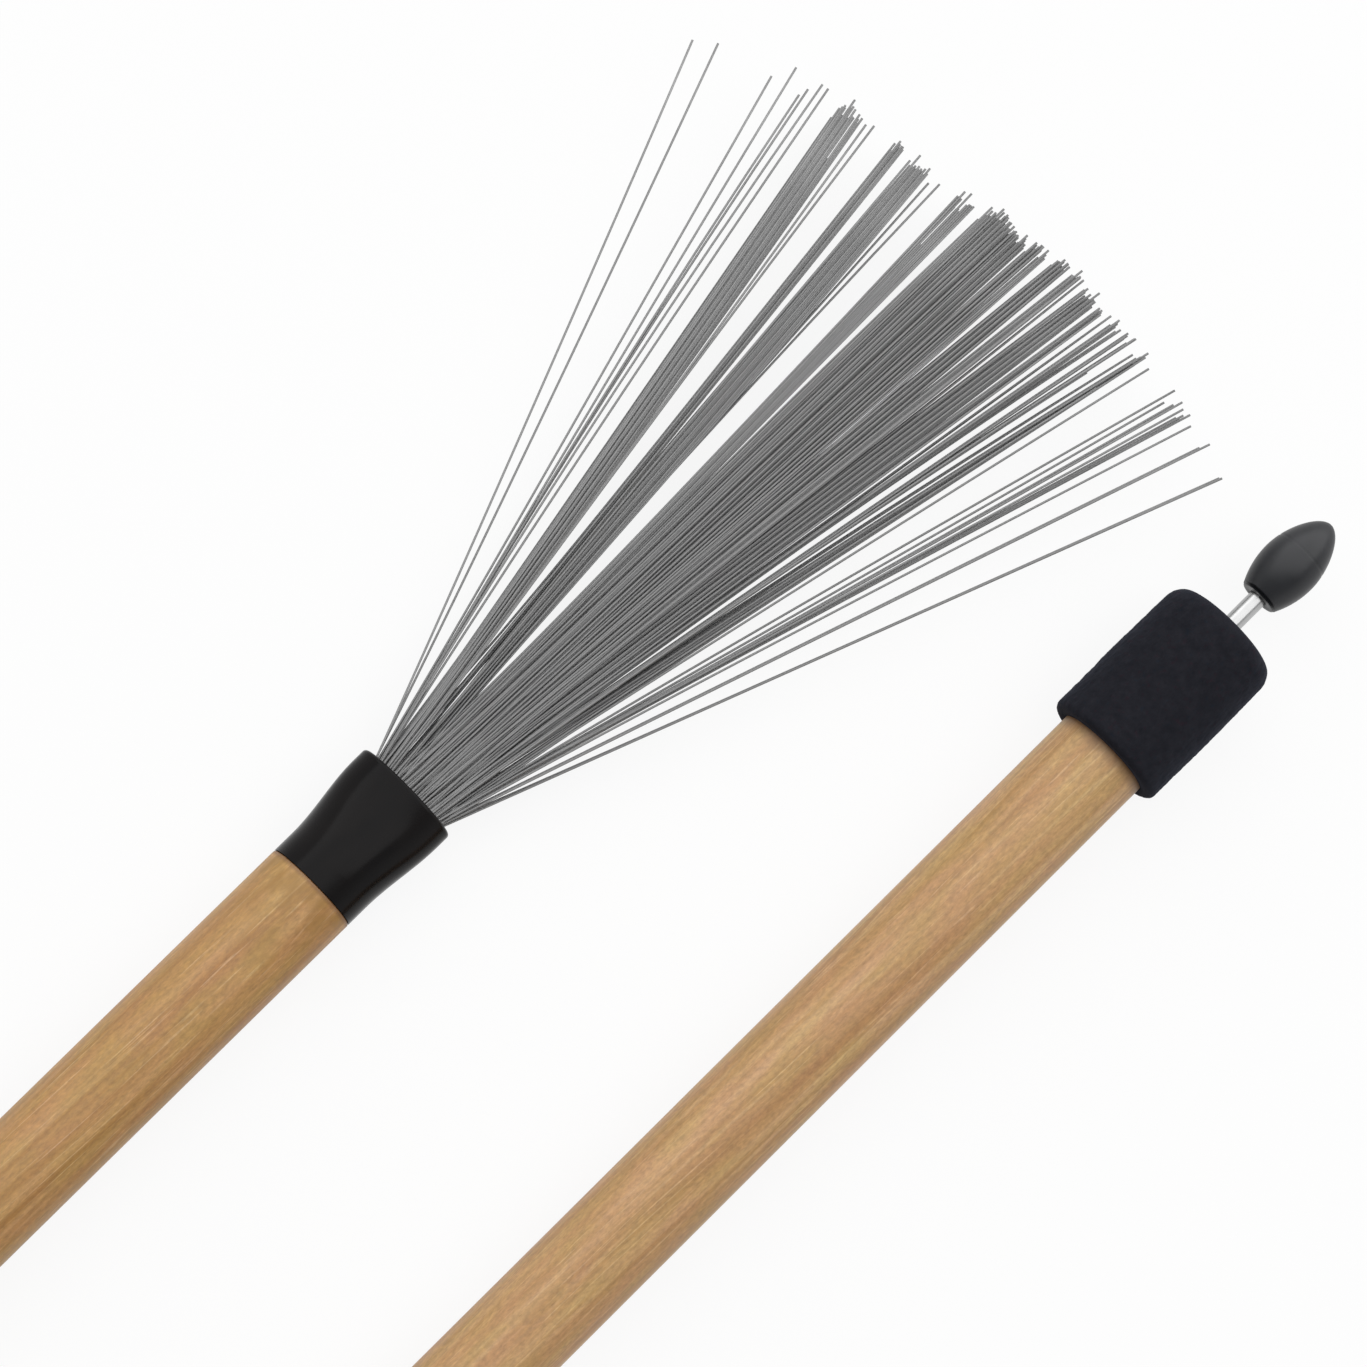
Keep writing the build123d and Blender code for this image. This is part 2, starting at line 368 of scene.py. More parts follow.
def hickory(side):
    """Lacquered hickory: long thin streaks of tan and amber, cream lines, pores and a mottle."""
    tones = wood_tones[side]
    light, tan, amber, shift = (tones[key] for key in ("light", "tan", "amber", "shift"))
    finish = Finish(f"hickory_{side}", side)
    straight = finish.brush_coordinates()
    axes = ((1, 0, 0), (grain_slant, 1, 0), (-0.5 * grain_slant, 0, 1))
    slanted = finish.along_axes(straight, axes)
    wander = finish.marks(straight, wander_size, detail=1.0, roughness=0.4, shift=shift)
    push = finish.between(wander, 0.2, 0.8, -grain_wander, grain_wander)
    grain = finish.vector("ADD", slanted, finish.combined(0.0, push, push))["Vector"]

    bands = finish.marks(grain, band_size, shift=shift)
    streaks = finish.marks(grain, streak_size, shift=shift + 7)
    threads = finish.marks(grain, thread_size, detail=1.0, shift=shift + 13)
    mottle = finish.marks(grain, mottle_size, detail=3.0, roughness=0.65, shift=shift + 19)
    clouds = finish.marks(straight, cloud_size, shift=shift + 23)
    pores = finish.marks(grain, pore_size, detail=1.0, shift=shift + 29)
    patches = finish.marks(straight, patch_size, shift=shift + 31)

    colour = finish.ramp(bands, (0.24, amber), (0.50, tan), (0.76, light))
    colour = finish.mix(finish.between(streaks, 0.54, 0.70, 0.0, 0.60), colour, light)
    colour = finish.mix(finish.between(streaks, 0.46, 0.30, 0.0, 0.60), colour, amber)
    colour = finish.mix(finish.between(threads, 0.62, 0.72, 0.0, 0.42), colour, cream)
    colour = finish.overlay(0.60, colour, mottle, (0.30, 0.70), (0.34, 0.66))
    rosy = finish.ramp(clouds, (0.35, cool_cloud), (0.65, rosy_cloud))
    colour = finish.mix(0.8, colour, rosy, "OVERLAY")
    colour = finish.mix(finish.between(pores, 0.68, 0.80, 0.0, 0.40), colour, pore_brown)

    # The lacquer has darkened the wood in patches near the ferrule; the wood is also darker in a
    # thin line along both joints.
    along = finish.part(straight, "X")
    near = finish.between(along, *(wood_front - reach for reach in stain_reach))
    near = finish.math("MULTIPLY", near, tones["stain"])
    stain = finish.math("MULTIPLY", near, finish.between(patches, 0.45, 0.62))
    colour = finish.mix(stain, colour, stain_brown)
    at_ferrule = finish.between(along, *(wood_front - reach for reach in ferrule_line), 0.0, 0.8)
    at_felt = finish.between(along, *(felt_front + reach for reach in felt_line), 0.0, 0.75)
    colour = finish.mix(finish.math("MAXIMUM", at_ferrule, at_felt), colour, joint_brown)

    relief = finish.math("ADD", streaks, finish.math("MULTIPLY", pores, -0.6))
    return finish.set(
        Base_Color=colour,
        Roughness=finish.between(mottle, 0.3, 0.7, 0.46, 0.58),
        Normal=finish.bump(relief, 0.00002, 0.5),
        Coat_Weight=0.15,
        Coat_Roughness=0.35,
    ).material


# ---- Plastics, felt and metals ------------------------------------------------------


def ferrule_plastic(side):
    """Black moulded plastic with a fine satin grain and faint flow marks."""
    finish = Finish(f"ferrule_plastic_{side}", side)
    at = finish.brush_coordinates()
    flow = finish.marks(at, (0.009, 0.004, 0.004), shift=5.0)
    grain = finish.marks(at, 0.00030, roughness=0.6, shift=11.0)
    colour = finish.ramp(flow, (0.3, screen_colour(16, 15, 16)), (0.7, screen_colour(22, 20, 20)))
    return finish.set(
        Base_Color=colour,
        Roughness=finish.between(flow, 0.3, 0.7, 0.17, 0.20),
        Specular_IOR_Level=0.085,
        Normal=finish.bump(grain, 0.00001, 0.35),
    ).material


def bead_plastic(side):
    """Dark satin plastic, a little bluer than the ferrule."""
    finish = Finish(f"bead_plastic_{side}", side)
    at = finish.own_coordinates()
    cloud = finish.marks(at, 0.004, shift=2.0)
    grain = finish.marks(at, 0.00025, roughness=0.6, shift=17.0)
    colour = finish.ramp(cloud, (0.3, screen_colour(19, 21, 25)), (0.7, screen_colour(28, 29, 33)))
    return finish.set(
        Base_Color=colour,
        Roughness=finish.between(cloud, 0.3, 0.7, 0.34, 0.42),
        Specular_IOR_Level=0.40,
        Normal=finish.bump(grain, 0.00001, 0.35),
    ).material


def black_felt():
    """Thick black wool felt: matted fibres with a bluish cast and odd coloured specks."""
    finish = Finish("black_felt")
    at = finish.own_coordinates()
    matting = finish.marks(at, 0.0016, detail=4.0, roughness=0.65, shift=3.0)
    fibres = finish.marks(at, (0.00045, 0.00012, 0.00045), detail=3.0, roughness=0.7, shift=9.0)
    hue = finish.marks(at, 0.0008, shift=23.0)
    dark, light = screen_colour(25, 26, 31), screen_colour(37, 37, 42)
    colour = finish.ramp(matting, (0.32, dark), (0.68, light))
    reddish, plain, bluish = ((44, 26, 34), (33, 33, 38), (24, 34, 44))
    specks = ((0.28, reddish), (0.40, plain), (0.62, plain), (0.74, bluish))
    tint = finish.ramp(hue, *((place, screen_colour(*speck)) for place, speck in specks))
    colour = finish.mix(0.35, colour, tint)
    colour = finish.overlay(0.4, colour, fibres, (0.3, 0.7), (0.35, 0.65))
    height = finish.math("ADD", matting, finish.math("MULTIPLY", fibres, 0.5))
    return finish.set(
        Base_Color=colour,
        Roughness=0.95,
        Specular_IOR_Level=0.05,
        Sheen_Weight=0.10,
        Sheen_Roughness=0.5,
        Sheen_Tint=screen_colour(150, 160, 185),
        Normal=finish.bump(height, 0.00012, 0.6),
    ).material


def spring_wire():
    """Drawn steel wire, dull grey, each wire a little different, with painted shade near the mouth
    and a painted highlight on the wires towards +Y.
    """
    finish = Finish("spring_wire")
    at = finish.own_coordinates()
    tone = finish.node("ShaderNodeAttribute", attribute_name="wire_tone_and_highlight").outputs["Fac"]
    drawn = finish.marks(at, (0.004, 0.0002, 0.0002), roughness=0.6, shift=1.0)
    # Painted shade: the wires are painted darker near the mouth, where the ferrule and the packed
    # wires shade them.
    painted_mouth_shade = finish.between(finish.part(at, "X"), 0.0, 0.115, 0.82, 0.86)  # painted shade: darker near the mouth, brighter at the tips
    level = finish.math("MULTIPLY", finish.between(tone, 0.0, 1.5, 0.225, 0.375), painted_mouth_shade)
    colour = finish.combined(level, level, level)
    colour = finish.overlay(0.25, colour, drawn, (0.3, 0.7), (0.42, 0.58))
    return finish.set(
        Base_Color=colour,
        Metallic=0.60,
        Roughness=finish.between(drawn, 0.3, 0.7, 0.56, 0.68),
    ).material


def plain_metal(name, side, level, roughness, mark):
    """Turned or plated metal: fine marks round the axis and a soft cloud."""
    finish = Finish(f"{name}_{side}", side)
    at = finish.brush_coordinates()
    turned = finish.marks(at, mark, roughness=0.6, shift=4.0)
    cloud = finish.marks(at, 0.003, shift=8.0)
    colour = finish.ramp(cloud, (0.3, grey(level * 0.88)), (0.7, grey(level)))
    return finish.set(
        Base_Color=colour,
        Metallic=1.0,
        Roughness=finish.between(turned, 0.3, 0.7, roughness * 0.8, roughness * 1.2),
        Normal=finish.bump(turned, 0.000006, 0.4),
    ).material


def plain_polymer(name, side, dark, light, roughness):
    """Moulded nylon, plastic or rubber with a fine grain and a soft cloud."""
    finish = Finish(f"{name}_{side}", side)
    at = finish.brush_coordinates()
    cloud = finish.marks(at, 0.003, shift=6.0)
    grain = finish.marks(at, 0.0002, roughness=0.6, shift=14.0)
    return finish.set(
        Base_Color=finish.ramp(cloud, (0.3, dark), (0.7, light)),
        Roughness=finish.between(cloud, 0.3, 0.7, roughness, roughness + 0.1),
        Normal=finish.bump(grain, 0.00001, 0.4),
    ).material


# ---- Wire fans ----------------------------------------------------------------------

wire_diameter = 0.34 * MM
wire_sides = 8
golden_angle = pi * (3 - sqrt(5))

# The slug that holds the wires' roots.
root_radius = 2.5 * MM
slug_radius = 3.0 * MM
slug_face = -11.5 * MM
slug_edge = 0.25 * MM
slug_dome = 0.4 * MM
slug_columns = 48
slug_tone = 0.8
root_depth = 1.0 * MM  # how far the wires go into the slug

# The fan's shape.
fan_source = 18.0 * MM  # the wires spread as from a point this far behind the mouth
fan_half_angle = 21.5
tip_half_height = 3.9 * MM
mouth_half_width = 6.75 * MM
mouth_half_height = 1.95 * MM
mouth_crowding = 0.7  # under 1, the wires crowd towards the sheaf's upper and lower faces
mouth_bulge = 0.35  # how much further apart the sheaf's middle wires leave the mouth
mouth_order = 0.3  # share of a wire's place in the mouth that comes from its angle, not its root
mouth_room = 6.9 * MM  # no wire leaves the mouth further out than this
turn_length = 18.0 * MM  # past the mouth, the wires turn into their lines over about this length
step_growth = 1.8  # over 1, a wire's steps are shorter near the mouth, where it turns most

# How the wires of a clump lie beside each other.
loose_angles = (-12.0, 9.3)  # between these, clumps leave the mouth from a wider patch of it
loose_fill = 2.0 * MM  # how much wider a loose clump is at the mouth, so that it meets the next
tight_fill = 0.5 * MM
full_clump = 8  # clumps of fewer wires widen less
loose_scatter = 0.30 * MM
tight_scatter = 0.15 * MM
layer_group = 10  # this many neighbouring wires keep their order of height from mouth to tip
layer_overlap = 0.7  # in wire diameters
single_angle = 12.6  # beyond this the wires stand singly and never cross
clump_height = 4.5 * MM  # the clumps' heights wave up and down the fan by up to this much
clump_wave = 7  # degrees
clump_offset = 0.4  # how far chance moves a clump along that wave's second direction
least_edge = 0.1  # the heights shrink towards the fan's sides, but not below the root of this
lone_height = 0.8 * tip_half_height  # small clumps lie at any height up to this
small_count = 3  # a small clump has up to this many wires, and none of them is short
stray_count = 6  # clumps of more wires than this have strays
cover_count = 8  # clumps of more wires than this have looser wires below them

# What chance does to single wires: angles in degrees, lengths in millimetres.
angle_jitter = 0.012
bow_jitter = 0.04
reach_spread = 0.75
short_share, short_by = 0.03, (3, 12)
stray_share, stray_angle = 0.04, 0.35

# How bright the wires are; the slug is slug_tone.
clump_tones = (0.35, 0.65)
tone_jitter = 0.18
painted_side_highlight = 0.035  # per degree: a painted highlight, the wires towards +Y are painted brighter

# Looser wires below the clumps: their place across their clump, their depth as a share of
# tip_half_height, how much shorter they are in millimetres, and their tone.
under_wires = 100
under_across = (0.1, 0.9)
under_depth = (0.3, 1.0)
under_shorter = (0.5, 2.5)
under_tone = 0.3

# The wires stick together in clumps. Each row is a clump's first and last angle at the tips, in
# degrees towards +Y, its number of wires, how far its tips reach from the source, and how far
# its first and last wires bow towards +Y half way along, in millimetres.
clumps = [
    (21.7, 21.7, 1, 131.6, -0.2, -0.2),
    (20.1, 20.1, 1, 132.8, -0.2, -0.2),
    (16.2, 16.2, 1, 132.2, 0.0, 0.0),
    (15.2, 15.2, 1, 134.6, 0.2, 0.2),
    (14.2, 13.9, 2, 132.8, 0.8, 0.9),
    (13.35, 12.9, 2, 134.4, 1.0, 0.45),
    (11.65, 10.15, 17, 133.8, 0.0, -0.4),
    (9.8, 9.35, 2, 134.4, -0.1, 0.4),
    (7.55, 6.95, 8, 134.6, 0.0, -0.3),
    (6.2, 6.2, 1, 133.4, 0.3, 0.3),
    (5.95, 4.8, 13, 134.2, 0.5, -0.6),
    (4.3, 3.75, 2, 134.4, 0.0, 0.6),
    (2.5, 1.35, 10, 135.1, -0.2, -0.1),
    (0.65, 0.3, 5, 136.0, 0.6, 0.1),
    (0.05, -2.5, 42, 137.2, 0.35, -0.2),
    (-2.75, -3.3, 11, 138.2, 0.2, -0.2),
    (-3.5, -3.8, 4, 138.4, 0.1, -0.5),
    (-4.4, -5.15, 15, 139.6, 0.6, -0.4),
    (-5.65, -6.05, 7, 140.3, 0.4, -0.1),
    (-6.3, -6.3, 2, 139.7, -0.1, -0.2),
    (-6.8, -6.9, 3, 140.2, 0.6, 0.5),
    (-7.1, -7.85, 13, 140.4, 0.5, -0.3),
    (-8.2, -8.5, 6, 140.0, 0.25, -0.1),
    (-9.0, -9.0, 2, 141.0, -0.05, 0.05),
    (-9.35, -9.6, 5, 141.0, 0.35, 0.25),
    (-9.95, -10.0, 3, 140.9, 0.75, 0.7),
    (-10.35, -10.45, 4, 140.9, 0.35, 0.3),
    (-10.75, -10.9, 4, 141.0, 0.75, 0.6),
    (-11.6, -11.6, 2, 140.6, 0.9, 0.8),
    (-11.85, -12.1, 8, 141.2, 0.85, 0.0),
    (-12.7, -12.7, 1, 141.4, 0.2, 0.2),
    (-14.6, -14.6, 1, 142.4, 0.2, 0.2),
    (-14.9, -14.9, 1, 140.6, -0.3, -0.3),
    (-15.3, -15.4, 2, 143.2, -0.3, -0.3),
    (-15.75, -15.75, 1, 142.2, -0.1, -0.1),
    (-16.05, -16.3, 4, 143.4, -0.05, 0.0),
    (-16.85, -16.85, 1, 142.2, 0.1, 0.1),
    (-18.2, -18.26, 2, 143.6, 0.0, 0.0),
    (-20.3, -20.36, 2, 143.6, 0.0, 0.0),
]

# Where the lines of the wires at some angles would cross the mouth, in degrees and millimetres.
line_places = [
    (-21.5, -7.0), (-18.2, -6.25), (-16.8, -5.4), (-14.5, -5.0), (-12.6, -5.3), (2.65, 1.5),
    (3.9, 2.0), (7.75, 3.3), (9.4, 3.35), (11.7, 4.65), (12.8, 5.95), (16.2, 5.6), (21.75, 6.55),
]


def line_place(angle):
    """Where a wire's line crosses the mouth, from the list of places."""
    for (low, low_place), (high, high_place) in zip(line_places, line_places[1:]):
        if angle <= high:
            share = max(0.0, (angle - low) / (high - low))
            return (low_place + (high_place - low_place) * share) * MM
    return line_places[-1][1] * MM


def stacked(rank, layers):
    """A wire's height in a ribbon of touching wires: neighbours lie at different heights."""
    level = 2 * (rank * golden_angle / pi % 1) - 1
    return level * (layers - layer_overlap) * wire_diameter * 0.5


def is_loose(angle):
    """Whether a clump at that angle leaves the mouth from a wider patch of it."""
    return loose_angles[0] < angle < loose_angles[1]


def either_side(chance, most):
    """A random number of either sign, up to most."""
    return chance.uniform(-most, most)


def clumped_wires(chance):
    """Each wire's angle, reach, height at its tip, sideways bow, shift at the mouth and tone.

    A clump is a ribbon of touching wires, one to a few layers deep, at a height of its own.
    """
    wires = []
    for first, last, count, reach, first_bow, last_bow in clumps:
        fill = (loose_fill if is_loose(first) else tight_fill) * min(1, count / full_clump)
        edge = sqrt(max(least_edge, 1 - (first / fan_half_angle) ** 2))
        at = Vector((first / clump_wave, 2.0, chance.uniform(0, clump_offset)))
        height = noise.noise(at) * clump_height * edge
        if count <= small_count:
            height = either_side(chance, lone_height) * edge
        clump_tone = chance.uniform(*clump_tones)
        width = radians(first - last) * reach * MM
        layers = max(1, count * wire_diameter / width) if width else 1
        for i in range(count):
            share = i / (count - 1) if count > 1 else 0.5
            angle = first + (last - first) * share + either_side(chance, angle_jitter)
            z = height + stacked(i, layers)
            length = reach + chance.gauss(0, reach_spread)
            if count > small_count and chance.random() < short_share:
                length -= chance.uniform(*short_by)
            bow = first_bow + (last_bow - first_bow) * share + either_side(chance, bow_jitter)
            if count > stray_count and chance.random() < stray_share:
                angle += either_side(chance, stray_angle)
                z += wire_diameter
            # The tone carries a painted highlight that grows towards +Y, where the light catches
            # the wires.
            tone = clump_tone + either_side(chance, tone_jitter) + max(0.0, angle) * painted_side_highlight
            wires.append((angle, length * MM, z, bow * MM, (0.5 - share) * fill, tone))

    covers = [clump for clump in clumps if clump[2] > cover_count]
    weights = [clump[2] for clump in covers]
    for _ in range(under_wires):
        first, last, _, reach, _, _ = chance.choices(covers, weights=weights)[0]
        angle = first + (last - first) * chance.uniform(*under_across)
        z = -tip_half_height * chance.uniform(*under_depth)
        length = (reach - chance.uniform(*under_shorter)) * MM
        wires.append((angle, length, z, 0.0, 0.0, under_tone))
    return wires


def disc_points(count):
    """Points spread evenly over a disc of radius 1, as seeds are in a sunflower."""
    points = []
    for i in range(count):
        radius = sqrt((i + 0.5) / count)
        points.append((radius * cos(i * golden_angle), radius * sin(i * golden_angle)))
    return points


def layered(roots, wires):
    """Pairs roots with wires: among a few neighbours, the highest wire has the highest root."""
    pairs = []
    for start in range(0, len(wires), layer_group):
        near_roots, near_wires = roots[start:start + layer_group], wires[start:start + layer_group]
        if max(abs(wire[0]) for wire in near_wires) < single_angle:
            near_roots = sorted(near_roots, key=lambda root: root[1])
            near_wires = sorted(near_wires, key=lambda wire: wire[2])
        pairs += zip(near_roots, near_wires)
    return pairs


def fan_paths(seed, mirror):
    """Each wire's path from its root in the slug, through the mouth, to its tip; and its tone."""
    chance = random.Random(seed)
    wires = sorted(clumped_wires(chance), reverse=True)
    roots = sorted(disc_points(len(wires)), reverse=True)
    paths = []
    for (across, upward), (angle, length, z, bow, shift, tone) in layered(roots, wires):
        root = Vector((slug_face - root_depth, root_radius * across, root_radius * upward))
        side_share = angle / fan_half_angle
        straight = side_share * (1 + mouth_bulge * (1 - side_share**2))
        scatter = chance.gauss(0, loose_scatter if is_loose(angle) else tight_scatter)
        if abs(angle) > single_angle:
            scatter = 0.0
        place = mouth_order * straight + (1 - mouth_order) * across
        mouth_y = mouth_half_width * place + shift + scatter
        mouth_z = mouth_half_height * copysign(abs(upward) ** mouth_crowding, upward)
        mouth = Vector((0, max(-mouth_room, min(mouth_room, mouth_y)), mouth_z))
        turn = radians(angle)
        tip = Vector((length * cos(turn) - fan_source, length * sin(turn), z))
        path = wire_path(root, mouth, line_place(angle), tip, bow)
        paths.append(([Vector((p.x, mirror * p.y, p.z)) for p in path], tone))
    return paths


def wire_path(root, mouth, line_y, tip, bow, inner_steps=4, outer_steps=14):
    """Leaves the slug straight, turns past the mouth into its line and runs to the tip.

    Outside the mouth the wires' heights close up as the fan widens, so that they keep touching.
    """
    leave = Vector((mouth.x - root.x, 0, 0))
    far_share = fan_source / (fan_source + tip.x)
    close_up = (tip.z - mouth.z) / (fan_source * (1 - far_share))
    slope = (tip.y - line_y + 4 * bow) / tip.x - (mouth.y - line_y) / turn_length
    arrive = Vector((1, slope, close_up)) * leave.length
    path = []
    for i in range(inner_steps):
        t = i / inner_steps
        shares = (2 * t**3 - 3 * t**2 + 1, t**3 - 2 * t**2 + t, 3 * t**2 - 2 * t**3, t**3 - t**2)
        path.append(root * shares[0] + leave * shares[1] + mouth * shares[2] + arrive * shares[3])
    for i in range(outer_steps + 1):
        t = (i / outer_steps) ** step_growth
        x = tip.x * t
        turned = (mouth.y - line_y) * exp(-x / turn_length)
        spread = (fan_source / (fan_source + x) - far_share) / (1 - far_share)
        y = line_y + (tip.y - line_y) * t + bow * 4 * t * (1 - t) + turned
        path.append(Vector((x, y, tip.z + (mouth.z - tip.z) * spread)))
    return path


def slug_rings():
    """The solder slug's profile: chamfered edges and a slightly domed face."""
    return [
        (slug_back, 0.0),
        (slug_back, slug_radius - slug_edge),
        (slug_back + slug_edge, slug_radius),
        (slug_face - slug_edge, slug_radius),
        (slug_face, slug_radius - slug_edge),
        (slug_face + 0.75 * slug_dome, slug_radius / 2),
        (slug_face + slug_dome, 0.0),
    ]


def lathe(profile, count, dent=None):
    """A closed solid of revolution from a profile that starts and ends on the axis."""
    points = [(profile[0][0], 0.0, 0.0), (profile[-1][0], 0.0, 0.0)]
    inner = profile[1:-1]
    for x, radius in inner:
        points += ring(x, radius, count, dent)
    faces = grid_faces(len(inner), count, start=2)
    last = 2 + (len(inner) - 1) * count
    for i in range(count):
        after = (i + 1) % count
        faces.append((0, 2 + after, 2 + i))
        faces.append((1, last + i, last + after))
    return points, faces


def make_fan(side, seed, mirror, material):
    """All the wires of a brush and the slug that holds them, as one piece."""
    points, faces, tones = [], [], []
    for path, tone in fan_paths(seed, mirror):
        new_points, new_faces = tube(path, wire_diameter / 2, wire_sides)
        faces += [tuple(len(points) + i for i in face) for face in new_faces]
        points += new_points
        tones += [tone] * len(new_points)
    new_points, new_faces = lathe(slug_rings(), slug_columns)
    faces += [tuple(len(points) + i for i in face) for face in new_faces]
    points += new_points
    tones += [slug_tone] * len(new_points)
    fan = make_piece(f"wires_{side}", side, points, faces, material, f"rod_{side}")
    tone = fan.data.attributes.new("wire_tone_and_highlight", "FLOAT", "POINT")
    tone.data.foreach_set("value", tones)
    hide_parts(f"wire_fan_{side}")
    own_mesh(fan)


# ---- Felt sleeves -------------------------------------------------------------------

felt_columns = 300
felt_step = 0.22 * MM
felt_lining = 0.03 * MM
felt_inner = wood_radius + felt_lining
felt_wood_round = 1.0 * MM
felt_butt_round = 2.8 * MM
felt_butt_rise = 0.85 * (felt_radius - felt_inner)
wood_round_steps = 7
butt_round_steps = 12

# The felt's unevenness: the size of each layer of it, and how far it rises or falls.
lump_size, lump_rise = 6 * MM, 0.16 * MM
matting_size, matting_rise = 1.3 * MM, 0.075 * MM
nap_size, nap_rise = 0.33 * MM, 0.045 * MM
taper_length, taper_fall = 9 * MM, 0.30 * MM  # towards the butt


def arc(centre, radii, start, end, steps):
    """Points of a rounded edge in the profile, between two angles in degrees."""
    points = []
    for i in range(steps + 1):
        angle = radians(start + (end - start) * i / steps)
        points.append((centre[0] + radii[0] * cos(angle), centre[1] + radii[1] * sin(angle)))
    return points


def felt_profile():
    """Round the sleeve's cut face: butt end, outside, wood end, bore."""
    butt_centre = (felt_back + felt_butt_round, felt_radius - felt_butt_rise)
    wood_centre = (felt_front - felt_wood_round, felt_radius - felt_wood_round)
    outside = [(felt_back, felt_inner + felt_lining)]
    outside += arc(butt_centre, (felt_butt_round, felt_butt_rise), 180, 90, butt_round_steps)
    length = wood_centre[0] - butt_centre[0]
    count = int(length / felt_step)
    outside += [(butt_centre[0] + length * i / count, felt_radius) for i in range(1, count)]
    outside += arc(wood_centre, (felt_wood_round, felt_wood_round), 90, 0, wood_round_steps)
    outside += [(felt_front, felt_inner + felt_lining)]
    bore = [(felt_front - felt_step, felt_inner), (felt_back + felt_step, felt_inner)]
    return outside + bore


def felt_dent(x, angle):
    """The felt's soft unevenness and matted nap, and its taper towards the butt end."""
    at = Vector((x, felt_radius * cos(angle), felt_radius * sin(angle)))
    lumps = noise.noise(at / lump_size) * lump_rise
    matting = noise.fractal(at / matting_size, 1.0, 2.0, 3) * matting_rise
    nap = noise.noise(at / nap_size) * nap_rise
    taper = max(0.0, 1 - (x - felt_back) / taper_length) ** 2 * taper_fall
    return lumps + matting + nap - taper


def make_felt(side, material):
    """A felt sleeve, dented all over its outside and not in its bore."""
    profile = felt_profile()
    points = []
    for x, radius in profile:
        share = (radius - felt_inner) / (felt_radius - felt_inner)
        points += ring(x, radius, felt_columns, lambda x, angle: share * felt_dent(x, angle))
    faces = grid_faces(len(profile), felt_columns, close_rows=True)
    felt = make_piece(f"felt_sleeve_{side}", side, points, faces, material, f"brush_{side}")
    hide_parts(f"butt_sleeve_{side}")


# ---- Beads --------------------------------------------------------------------------

bead_columns = 120
bead_seat_radius = 2.95 * MM
bead_edge = 0.35 * MM  # how far the seat's rounded edge reaches each way
bead_edge_middle = (0.03 * MM, 0.08 * MM)  # back from the seat and in from its rim
bead_edge_steps = 3
bead_crest = bead_seat - 6.4 * MM
bead_nose_fullness = 0.46
crest_steps = 22  # from the seat to the widest place
nose_steps = 60
bead_seam = bead_seat - 8.9 * MM
bead_seam_width = 0.16 * MM
bead_seam_depth = 0.09 * MM
rod_hole_depth = 9.0 * MM
rod_hole_gap = 0.02 * MM
rod_hole_edge = 0.1 * MM


def bezier(a, b, c, d, t):
    """The point at t on a cubic Bezier curve in the profile's plane."""
    u = 1 - t
    shares = (u**3, 3 * u * u * t, 3 * u * t * t, t**3)
    return tuple(sum(s * point[i] for s, point in zip(shares, (a, b, c, d))) for i in (0, 1))


def bead_profile():
    """From the rod's hole over the seat, the widest place and the seam to the nose."""
    hole = rod_radius + rod_hole_gap
    profile = [
        (bead_seat - rod_hole_depth, 0.0),
        (bead_seat - rod_hole_depth, hole),
        (bead_seat - rod_hole_edge, hole),
        (bead_seat, hole + rod_hole_edge),
        (bead_seat, bead_seat_radius - bead_edge),
        (bead_seat - bead_edge_middle[0], bead_seat_radius - bead_edge_middle[1]),
    ]
    run, rise = bead_seat - bead_crest, bead_radius - bead_seat_radius
    curve = (run**2 + rise**2) / (2 * rise)
    half_turn = atan2(run, curve - rise)
    for i in range(crest_steps):
        turn = half_turn * (1 - i / crest_steps)
        x = bead_crest + curve * sin(turn)
        radius = bead_radius - curve * (1 - cos(turn))
        edge_room = bead_edge * max(0, 1 - i / bead_edge_steps)
        profile.append((min(x, bead_seat - edge_room), radius))
    crest_pull = bead_crest - (bead_crest - bead_tip) * bead_nose_fullness
    nose_pull = bead_radius * bead_nose_fullness
    start, end = (bead_crest, bead_radius), (bead_tip, 0.0)
    pulls = (crest_pull, bead_radius), (bead_tip, nose_pull)
    profile += [bezier(start, *pulls, end, i / nose_steps) for i in range(nose_steps + 1)]
    return profile


def bead_dent(x, angle):
    """A fine groove round the bead where its two halves meet."""
    share = abs(x - bead_seam) / bead_seam_width
    return -bead_seam_depth * max(0.0, 1 - share) ** 2


def make_bead(side, material):
    """A bead with a hole for its rod."""
    points, faces = lathe(bead_profile(), bead_columns, bead_dent)
    faces = [tuple(reversed(face)) for face in faces]  # the profile runs towards -X
    bead = make_piece(f"bead_{side}", side, points, faces, material, f"rod_{side}")
    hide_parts(f"pull_bead_{side}")


# ---- The pair -----------------------------------------------------------------------


def dress(node, side, material):
    """Gives a CAD node that stays its finish."""
    piece = frame["nodes"][f"{node}_{side}"]
    for slot in piece.material_slots:
        slot.material = material


felt_material = black_felt()
wire_material = spring_wire()
fan_seeds = {"a": (23, 1), "b": (29, -1)}  # with 1, or -1 for a fan whose clumps are mirrored
turned_mark = (0.00015, 0.004, 0.004)
drawn_mark = (0.010, 0.0003, 0.0003)

